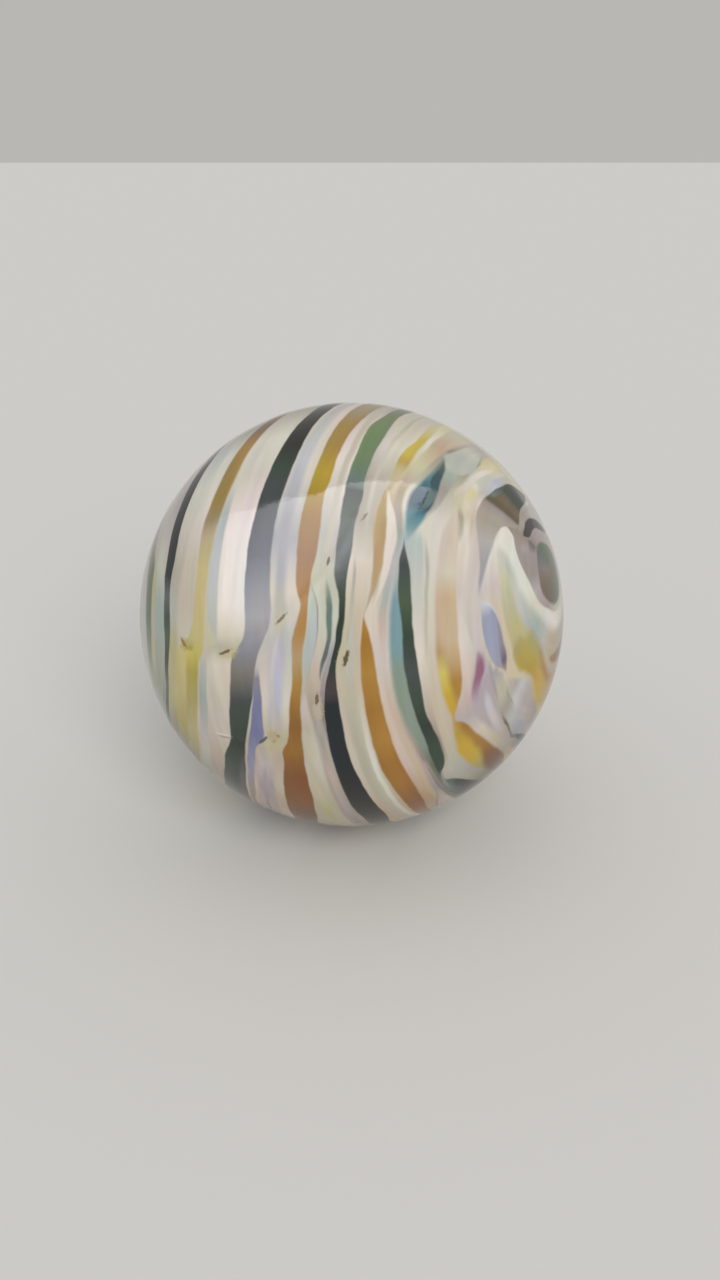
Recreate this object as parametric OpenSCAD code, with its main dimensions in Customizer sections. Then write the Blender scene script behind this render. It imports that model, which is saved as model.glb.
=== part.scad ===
// Swirled glass marble: one ball of opaque coloured ribbons, wound round a leaning axis
// and tucked under each other in a fold at one end, with shallow creases where gathers of
// glass met and small scorched pits along them. Origin at the ball's centre, +Z up.

/* [Ball] */
// Diameter of the ball
ball_d = 38; // [25:0.5:60]

/* [Swirl] */
// Turn of the swirl's axis about the upright, from +X towards the front
swirl_turn = 21; // [0:1:45]
// Lift of the fold end of the swirl's axis above level
swirl_lift = 9; // [0:1:30]
// Spin of the ribbons and creases about the swirl's axis
swirl_spin = 112; // [90:1:135]

/* [Creases] */
// Width of a crease
crease_w = 0.6; // [0.3:0.05:0.8]
// Depth of a crease at its middle
crease_depth = 0.06; // [0.03:0.01:0.1]

/* [Pits] */
// Width of a pit
pit_w = 1; // [0.9:0.05:1.6]
// Depth of a pit
pit_depth = 0.12; // [0.11:0.01:0.3]

/* [Hidden] */

ball_r = ball_d / 2;
// Half side of the slabs that cut the ball into ribbons, clear of the ball all round
reach = 1.2 * ball_r;
ball_facets = 180;
groove_facets = 32;

ivory = [0.88, 0.85, 0.80];
milk = [0.79, 0.80, 0.77];
blush = [0.84, 0.77, 0.73];
lilac = [0.72, 0.71, 0.78];
amber = [0.67, 0.47, 0.20];
peach = [0.80, 0.66, 0.52];
gold = [0.76, 0.64, 0.24];
olive = [0.62, 0.60, 0.36];
moss = [0.38, 0.47, 0.30];
teal = [0.42, 0.58, 0.60];
pine = [0.20, 0.27, 0.25];
slate = [0.14, 0.17, 0.19];
umber = [0.42, 0.34, 0.25];

// Ribbons from the fold end to the far end: each has its colour and the line where it
// ends. A line is [round, down] pairs from top to bottom: round is the angle about the
// swirl's axis, up from the front, and down is the angle down from the fold end.
ribbons = [
    [gold, [[70, 19], [0, 21], [-60, 24]]],
    [milk, [[70, 30], [20, 36], [0, 35], [-30, 29], [-60, 28]]],
    [lilac, [[70, 41], [30, 40], [0, 39], [-30, 39], [-60, 39]]],
    [peach, [[60, 45], [30, 43], [0, 47], [-35, 46], [-60, 45]]],
    [milk, [[60, 50], [30, 50], [10, 53], [-30, 51], [-60, 50]]],
    [pine, [[60, 54], [30, 56], [0, 57], [-40, 55], [-70, 56]]],
    [ivory, [[60, 58], [20, 61], [0, 64], [-30, 61], [-60, 60]]],
    [amber, [[60, 61], [20, 63], [0, 65], [-30, 65], [-60, 65]]],
    [blush, [[60, 68], [20, 68], [0, 68], [-20, 71], [-60, 71]]],
    [slate, [[60, 72], [20, 71], [0, 70], [-20, 75], [-60, 77]]],
    [ivory, [[60, 75], [20, 76], [0, 77], [-20, 80], [-55, 86]]],
    [amber, [[60, 79], [20, 79], [0, 80], [-20, 83], [-55, 93]]],
    [lilac, [[60, 85], [20, 86], [0, 87], [-20, 91], [-55, 106]]],
    [pine, [[60, 90], [20, 91], [0, 92], [-20, 97], [-50, 111]]],
    [ivory, [[60, 100], [20, 103], [0, 104], [-20, 107], [-45, 115]]],
    [olive, [[60, 103], [20, 106], [0, 107], [-20, 117], [-40, 123]]],
    [blush, [[50, 115], [20, 117], [0, 118], [-20, 121], [-35, 126]]],
    [pine, [[50, 118], [20, 119], [0, 120], [-20, 122], [-35, 128]]],
    [milk, [[45, 127], [0, 126], [-30, 131]]],
    [moss, [[45, 131], [0, 130], [-30, 134]]],
    [ivory, [[45, 139], [0, 140], [-30, 146]]],
    [teal, [[45, 144], [0, 146], [-30, 150]]],
    [blush, [[30, 156], [0, 158], [-30, 160]]],
];
far_end = amber;

// Creases, each an arc of a circle on the ball: the [round, down] pair of the circle's
// centre, the circle's angular radius, and where along the circle the pits lie. The
// crease runs from its first pit to its last.
creases = [
    [[30, 105], 37, [78, 102, 127, 152, 172]],
    [[0, 97], 31, [84, 105, 136, 160, 182]],
    [[10, 2], 33, [-34, 38]],
];

// Point of the unit ball at a [round, down] pair, in the swirl's own frame
function spot(p) = [sin(p[1]) * cos(p[0]), -sin(p[1]) * sin(p[0]), cos(p[1])];

// Radius of the circle that cuts a groove or pit of width w and depth d
function cutter_r(w, d) = (w * w / 4 + d * d) / (2 * d);

// Side view of a ribbon's line, along the front-to-back direction
function side_view(line) = [
    for (p = line) let (q = spot(p)) ball_r * [q[1], q[2]]
];

module in_swirl() {
    rotate([0, 90 - swirl_lift, -swirl_turn])
        rotate([0, 0, -swirl_spin])
            children();
}

// Turns +Z to a [round, down] pair
module aim(p) {
    rotate([0, 0, -p[0]])
        rotate([0, p[1], 0])
            children();
}

module ball() {
    sphere(d = ball_d, $fn = ball_facets);
}

// Everything on the fold side of ribbon k's line, run out level past both sides of the ball
module fold_side(k) {
    line = side_view(ribbons[k][1]);
    last = line[len(line) - 1];
    in_swirl()
        rotate([90, 0, 90])
            translate([0, 0, -reach])
                linear_extrude(2 * reach)
                    polygon(concat(
                        [[-reach, reach], [-reach, line[0][1]]],
                        line,
                        [[reach, last[1]], [reach, reach]]
                    ));
}

// Ribbon k, between its own line and the one before it
module ribbon(k) {
    color(ribbons[k][0])
        difference() {
            intersection() {
                ball();
                fold_side(k);
            }
            if (k > 0) fold_side(k - 1);
        }
}

// What is left of the ball past the last ribbon
module far_cap() {
    color(far_end)
        difference() {
            ball();
            fold_side(len(ribbons) - 1);
        }
}

module crease(c) {
    r = cutter_r(crease_w, crease_depth);
    path_r = ball_r + r - crease_depth;
    first = c[2][0];
    last = c[2][len(c[2]) - 1];
    aim(c[0])
        rotate([0, 0, first])
            translate([0, 0, path_r * cos(c[1])])
                rotate_extrude(angle = last - first, $fn = ball_facets)
                    translate([path_r * sin(c[1]), 0])
                        circle(r, $fn = groove_facets);
}

// Round dimples along crease c, wider and deeper than the crease, so it ends in them
module pits(c) {
    r = cutter_r(pit_w, pit_depth);
    aim(c[0])
        for (turn = c[2])
            rotate([0, 0, turn])
                rotate([0, c[1], 0])
                    translate([0, 0, ball_r + r - pit_depth])
                        sphere(r, $fn = groove_facets);
}

module marble() {
    difference() {
        union() {
            for (k = [0 : len(ribbons) - 1]) ribbon(k);
            far_cap();
        }
        color(umber)
            in_swirl()
                for (c = creases) {
                    crease(c);
                    pits(c);
                }
    }
}

marble();
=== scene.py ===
# Swirled glass marble: a ball of opaque ribbons wound round a leaning axis, with a fold at one end.
from math import pi, radians
import bpy
import numpy as np
from mathutils import Matrix, Vector


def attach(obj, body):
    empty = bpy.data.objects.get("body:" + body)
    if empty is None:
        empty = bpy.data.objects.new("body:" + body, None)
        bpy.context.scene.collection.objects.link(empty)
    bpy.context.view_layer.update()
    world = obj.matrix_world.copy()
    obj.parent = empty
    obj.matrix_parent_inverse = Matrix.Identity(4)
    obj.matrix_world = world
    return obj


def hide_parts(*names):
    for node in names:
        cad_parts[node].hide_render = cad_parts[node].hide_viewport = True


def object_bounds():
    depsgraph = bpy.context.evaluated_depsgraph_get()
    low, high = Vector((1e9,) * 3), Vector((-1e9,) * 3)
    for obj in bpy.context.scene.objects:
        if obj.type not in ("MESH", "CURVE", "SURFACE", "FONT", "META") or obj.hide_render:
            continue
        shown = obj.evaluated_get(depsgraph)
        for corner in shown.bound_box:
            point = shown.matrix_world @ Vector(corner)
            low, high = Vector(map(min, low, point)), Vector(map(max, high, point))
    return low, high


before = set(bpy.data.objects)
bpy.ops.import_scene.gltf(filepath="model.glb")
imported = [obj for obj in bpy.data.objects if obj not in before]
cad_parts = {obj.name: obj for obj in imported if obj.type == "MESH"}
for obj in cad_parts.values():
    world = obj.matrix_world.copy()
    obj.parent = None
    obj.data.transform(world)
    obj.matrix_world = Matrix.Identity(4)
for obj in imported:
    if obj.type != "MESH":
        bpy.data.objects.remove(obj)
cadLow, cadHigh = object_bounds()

ballRadius = min(cadHigh - cadLow) / 2
ballCentre = (cadHigh + cadLow) / 2
bpy.context.scene.view_settings.view_transform = "Standard"


def linear(colour):
    # sRGB 0 to 255 into scene linear: ((c + 0.055) / 1.055) ^ 2.4, or c / 12.92 near black
    c = np.array(colour, float) / 255
    c = np.where(c > 0.04045, ((c + 0.055) / 1.055) ** 2.4, c / 12.92)
    return (*c.tolist(), 1.0)


def addObject(name, data):
    obj = bpy.data.objects.new(name, data)
    bpy.context.scene.collection.objects.link(obj)
    return obj


def makePiece(name, points, faces, paint):
    # a mesh in metres, with its one material
    mesh = bpy.data.meshes.new(name)
    mesh.from_pydata(points, [], faces)
    mesh.update()
    mesh.materials.append(paint)
    return addObject(name, mesh)


def newPaint(name):
    # a material and its node tree
    paint = bpy.data.materials.new(name)
    paint.use_nodes = True
    return paint, paint.node_tree


def addNode(tree, kind, links=(), **settings):
    # a node of the kind, with its settings and with links or plain values for its inputs
    node = tree.nodes.new("ShaderNode" + kind)
    for name, value in settings.items():
        setattr(node, name, value)
    for place, value in links:
        if isinstance(value, bpy.types.NodeSocket):
            tree.links.new(value, node.inputs[place])
        else:
            node.inputs[place].default_value = value
    return node


def calc(tree, kind, *values):
    # a number worked out from numbers
    return addNode(tree, "Math", enumerate(values), operation=kind).outputs[0]


def calcVector(tree, kind, *values):
    # a vector worked out from vectors, or the number for a length or a dot product
    node = addNode(tree, "VectorMath", enumerate(values), operation=kind)
    return node.outputs["Value" if kind in ("LENGTH", "DOT_PRODUCT") else "Vector"]


camera = {
    "distance": 0.0956,    # from the ball's centre
    "elevation": 24.0,     # degrees above level
    "lens": 29.4,          # mm, on a 36 mm sensor
    "aimRight": 0.00073,   # of the point it looks at, from the ball's centre
    "aimDown": 0.00226,
    "nearest": 0.005,      # and farthest that it sees
    "farthest": 20,
}


def placeCamera(c):
    # place = centre + distance x (0, -cos elevation, sin elevation), looking at a point a little to
    # the ball's right and below its middle
    tilt = radians(c["elevation"])
    away = Vector((0, -np.cos(tilt), np.sin(tilt)))
    up = Vector((0, np.sin(tilt), np.cos(tilt)))
    place = ballCentre + c["distance"] * away
    target = ballCentre + Vector((c["aimRight"], 0, 0)) - c["aimDown"] * up
    data = bpy.data.cameras.new("camera")
    data.lens = c["lens"]
    data.clip_start = c["nearest"]
    data.clip_end = c["farthest"]
    obj = addObject("camera", data)
    obj.location = place
    obj.rotation_euler = (target - place).to_track_quat("-Z", "Y").to_euler()
    bpy.context.scene.camera = obj


floorLook = {
    "half": 4.0,                   # half side
    "colour": (210, 208, 204),
    "backdrop": (184, 183, 179),   # the world's colour where it is seen
    "roughness": 0.9,
}


def makeFloor(f):
    # a flat square level with the ball's lowest point
    paint, tree = newPaint("paleFloor")
    shader = tree.nodes["Principled BSDF"]
    shader.inputs["Base Color"].default_value = linear(f["colour"])
    shader.inputs["Roughness"].default_value = f["roughness"]
    shader.inputs["Specular IOR Level"].default_value = 0.0
    h = f["half"]
    z = cadLow.z
    corners = [(-h, -h, z), (h, -h, z), (h, h, z), (-h, h, z)]
    makePiece("floor", corners, [(0, 1, 2, 3)], paint)


lamps = {
    "worldStrength": 0.64,
    "keyFrom": (0.30, -1.02, 0.74),   # soft key light, from the front and a little to the right
    "keyStrength": 1.7,
    "keyAngle": 38,                   # degrees across
}


def lightWorld(s):
    # even white light, and the pale backdrop's own colour where it is seen or mirrored
    world = bpy.data.worlds.new("studio")
    world.use_nodes = True
    bpy.context.scene.world = world
    tree = world.node_tree
    light = tree.nodes["Background"]
    light.inputs["Color"].default_value = (1, 1, 1, 1)
    light.inputs["Strength"].default_value = s["worldStrength"]
    seen = addNode(tree, "Background", [("Color", linear(floorLook["backdrop"]))])
    path = addNode(tree, "LightPath").outputs
    either = calc(tree, "MAXIMUM", path["Is Camera Ray"], path["Is Glossy Ray"])
    mix = addNode(tree, "MixShader", [(0, either), (1, light.outputs[0]), (2, seen.outputs[0])])
    tree.links.new(mix.outputs[0], tree.nodes["World Output"].inputs["Surface"])


def hangKeyLight(s):
    # a wide soft sun that isn't seen in the gloss
    light = bpy.data.lights.new("keyLight", "SUN")
    light.energy = s["keyStrength"]
    light.angle = radians(s["keyAngle"])
    obj = addObject("keyLight", light)
    obj.rotation_euler = Vector(s["keyFrom"]).to_track_quat("Z", "Y").to_euler()
    obj.visible_glossy = False


# The tall bright card that is seen in the gloss alone
card = {
    "distance": 0.5,
    "glow": 4.0,
    "sideStart": 0.12,      # share of its length at which its left end begins to glow
    "sideFade": 0.54,       # share of its length over which the glow then grows full
    "footFade": 0.65,       # share of its height over which its foot fades out
    "columns": 40,          # of faces, from left to right
    "rows": 16,             # from top to foot
    # directions of its upper and lower edges, from left to right
    "top": [(-0.86, 0.50, -0.15), (-0.83, 0.33, 0.46), (-0.65, 0.08, 0.76),
            (-0.28, -0.02, 0.96), (0.02, 0.06, 1.00), (0.52, 0.20, 0.83)],
    "foot": [(-0.93, -0.25, -0.27), (-0.78, -0.60, -0.30), (-0.60, -0.82, -0.14),
             (-0.40, -0.94, 0.06), (-0.06, -0.82, 0.58), (0.45, -0.20, 0.86)],
}


def ease(t):
    # smoothstep: 3 t^2 - 2 t^3
    t = np.clip(t, 0, 1)
    return t * t * (3 - 2 * t)


def hangCard(c):
    # point(u, v) = distance x unit(mix(top(u), foot(u), v)), a patch of a dome round the ball,
    # glowing by glow x ease((u - side start) / side fade) x ease((1 - v) / foot fade)
    u = np.linspace(0, 1, c["columns"] + 1)
    v = np.linspace(0, 1, c["rows"] + 1)[:, None]

    def along(edge):
        stations = np.linspace(0, 1, len(edge))
        return np.stack([np.interp(u, stations, values) for values in zip(*edge)], -1)

    p = along(c["top"]) * (1 - v)[..., None] + along(c["foot"]) * v[..., None]
    p = c["distance"] * p / np.linalg.norm(p, axis=-1, keepdims=True)
    index = np.arange(v.size * u.size).reshape(v.size, u.size)
    faces = np.stack([index[:-1, :-1], index[1:, :-1], index[1:, 1:], index[:-1, 1:]], -1)
    share = ease((1 - v) / c["footFade"]) * ease((u - c["sideStart"]) / c["sideFade"])
    paint, tree = newPaint("brightCard")
    tree.nodes.clear()
    fade = addNode(tree, "Attribute", attribute_name="fade").outputs["Fac"]
    glow = addNode(tree, "Emission", [("Strength", calc(tree, "MULTIPLY", fade, c["glow"]))])
    clear = addNode(tree, "BsdfTransparent")
    both = addNode(tree, "AddShader", [(0, glow.outputs[0]), (1, clear.outputs[0])])
    addNode(tree, "OutputMaterial", [("Surface", both.outputs[0])])
    obj = makePiece("card", p.reshape(-1, 3).tolist(), faces.reshape(-1, 4).tolist(), paint)
    fade = obj.data.attributes.new("fade", "FLOAT", "POINT")
    fade.data.foreach_set("value", share.ravel().astype(np.float32))
    obj.visible_camera = False
    obj.visible_diffuse = False
    obj.visible_shadow = False


# Round is the angle about the swirl's axis, 0 at the front and 90 on top. Down is the angle from
# the fold end, where the rings close round an eye that lies a little off the axis.
marble = {
    "turn": 21,                # of the swirl's axis, from +X towards the front
    "lift": 9,                 # of the fold end, above level
    "spin": 112,               # of the ribbons about the axis
    "rows": 250,               # of faces, from the fold end to the far end
    "columns": 390,            # of faces, round the axis
    "eye": (0.07, 0.19, 0),    # the eye's place off the axis, in ball radii
    "eyeDrift": (12, 47),      # down angles between which the rings drift back to the axis
    "creases": [               # centre (round, down), angular radius, turns of the pits along it
        ((30, 105), 37, (78, 102, 127, 152, 172)),
        ((0, 97), 31, (84, 105, 136, 160, 182)),
        ((10, 2), 33, (-34, 38)),
    ],
    "creaseWidth": 0.00024,
    "creaseDepth": 0.00003,
    "creaseFade": 6,           # degrees over which a crease runs out at its ends
    "pitWidth": 0.0004,
    "pitDepth": 0.00007,
}


def swirlFrame(m):
    # rows: directions of round 0 and round 90 at down 90, and of the fold end
    lean = Matrix.Rotation(radians(-m["turn"]), 3, "Z") @ Matrix.Rotation(radians(90 - m["lift"]), 3, "Y")
    spun = lean @ Matrix.Rotation(radians(-m["spin"]), 3, "Z")
    return Matrix((spun @ Vector((1, 0, 0)), spun @ Vector((0, -1, 0)), spun @ Vector((0, 0, 1))))


def creaseDip(m, unit):
    # depth x exp(-(distance from the circle / width)^2), faded out past both ends, and deeper in
    # the pits: pit depth x exp(-(distance from the pit / pit width)^2)
    dip = np.zeros(len(unit))
    for middle, reach, pits in m["creases"]:
        r, d = np.radians(middle)
        x = unit[:, 0] * np.cos(r) + unit[:, 1] * np.sin(r)
        side = unit[:, 1] * np.cos(r) - unit[:, 0] * np.sin(r)
        over = x * np.cos(d) - unit[:, 2] * np.sin(d)
        along = x * np.sin(d) + unit[:, 2] * np.cos(d)
        away = (np.arccos(np.clip(along, -1, 1)) - np.radians(reach)) * ballRadius
        turn = np.degrees(np.arctan2(-side, over))
        turn = np.where(turn < -90, turn + 360, turn)
        ends = np.minimum(turn - pits[0], pits[-1] - turn) / m["creaseFade"]
        inside = np.clip(ends + 0.5, 0, 1)
        dip = np.maximum(dip, m["creaseDepth"] * inside * np.exp(-(away / m["creaseWidth"]) ** 2))
        for pit in pits:
            aside = np.radians(turn - pit) * np.sin(np.radians(reach)) * ballRadius
            dip = np.maximum(dip, m["pitDepth"] * np.exp(-(away ** 2 + aside ** 2) / m["pitWidth"] ** 2))
    return dip


def makeBall(m, paint):
    # point(round, down) = (radius - dip) x (sin down cos round, sin down sin round, cos down)
    rows, cols = m["rows"], m["columns"]
    down = np.radians(np.linspace(0, 180, rows + 1))[1:-1, None]
    around = np.radians(np.linspace(-180, 180, cols, endpoint=False))[None]
    unit = np.stack([np.sin(down) * np.cos(around), np.sin(down) * np.sin(around),
                     np.cos(down) + 0 * around], -1).reshape(-1, 3)
    unit = np.concatenate([unit, [[0, 0, 1], [0, 0, -1]]])
    dip = creaseDip(m, unit)
    points = (ballRadius - dip)[:, None] * unit @ np.array(swirlFrame(m)) + np.array(ballCentre)
    index = np.arange((rows - 1) * cols).reshape(rows - 1, cols)
    beside = np.roll(index, -1, 1)
    quads = np.stack([index[:-1], beside[:-1], beside[1:], index[1:]], -1).reshape(-1, 4)
    foldPole = np.full(cols, len(unit) - 2)
    farPole = np.full(cols, len(unit) - 1)
    foldFan = np.stack([foldPole, beside[0], index[0]], -1)
    farFan = np.stack([farPole, index[-1], beside[-1]], -1)
    faces = quads.tolist() + foldFan.tolist() + farFan.tolist()
    obj = makePiece("swirlMarble", points.tolist(), faces, paint)
    obj.data.shade_smooth()
    return obj


# The glasses, as sRGB colours
glass = {
    "snow": (222, 214, 208), "citron": (182, 164, 72), "swan": (208, 207, 195), "chalk": (212, 205, 194),
    "ivory": (202, 194, 181), "cream": (194, 184, 168), "oat": (182, 170, 150), "biscuit": (176, 158, 126),
    "butter": (202, 192, 150), "moon": (190, 190, 202), "pewter": (150, 148, 154), "flint": (126, 126, 134),
    "hazel": (146, 130, 96), "harbour": (30, 62, 84), "frost": (164, 174, 178), "shell": (192, 177, 164),
    "blush": (182, 164, 152), "rose": (172, 154, 146), "petal": (190, 178, 174), "mist": (184, 184, 186),
    "pearl": (186, 186, 172), "bone": (174, 170, 152), "stone": (156, 146, 132), "ash": (146, 138, 132),
    "mauve": (150, 138, 134), "dove": (166, 160, 155), "fog": (174, 175, 167), "taupe": (140, 124, 112),
    "smoke": (116, 110, 104), "slate": (84, 90, 90), "dusk": (112, 102, 100), "iron": (60, 66, 66),
    "soot": (32, 30, 26), "ink": (20, 28, 32), "midnight": (24, 36, 44), "bottle": (38, 50, 42),
    "pine": (48, 63, 49), "forest": (68, 83, 60), "fern": (66, 92, 62), "moss": (106, 126, 86),
    "reed": (98, 102, 76), "sage": (144, 150, 128), "celadon": (154, 166, 156), "lagoon": (122, 136, 124),
    "steel": (98, 114, 108), "teal": (84, 124, 134), "sea": (112, 143, 146), "ice": (166, 176, 172),
    "deepSea": (54, 78, 86), "lilac": (174, 172, 188), "iris": (142, 146, 164), "violet": (112, 114, 148),
    "navy": (90, 90, 102), "thistle": (166, 154, 160), "plum": (58, 48, 50), "magenta": (140, 92, 112),
    "orchid": (156, 132, 144), "straw": (190, 176, 122), "primrose": (190, 182, 154),
    "lemon": (192, 176, 88), "gold": (184, 150, 44), "mustard": (168, 142, 46), "oliveGold": (166, 150, 70),
    "olive": (160, 150, 92), "khaki": (176, 168, 120), "lichen": (178, 171, 142), "amber": (158, 116, 46),
    "honey": (148, 122, 58), "ochre": (172, 142, 78), "peach": (186, 162, 134), "apricot": (172, 138, 94),
    "tan": (172, 144, 106), "caramel": (147, 103, 36), "copper": (134, 88, 36), "rust": (124, 76, 30),
    "chestnut": (98, 60, 34), "umber": (90, 76, 54), "bark": (102, 86, 64),
}

# The glass of the eye, which all ribbons lie over
eyeTints = {-180: "forest", -110: "forest", -60: "umber", -25: "bark", 10: "dusk", 40: "slate", 62: "forest"}

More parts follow.
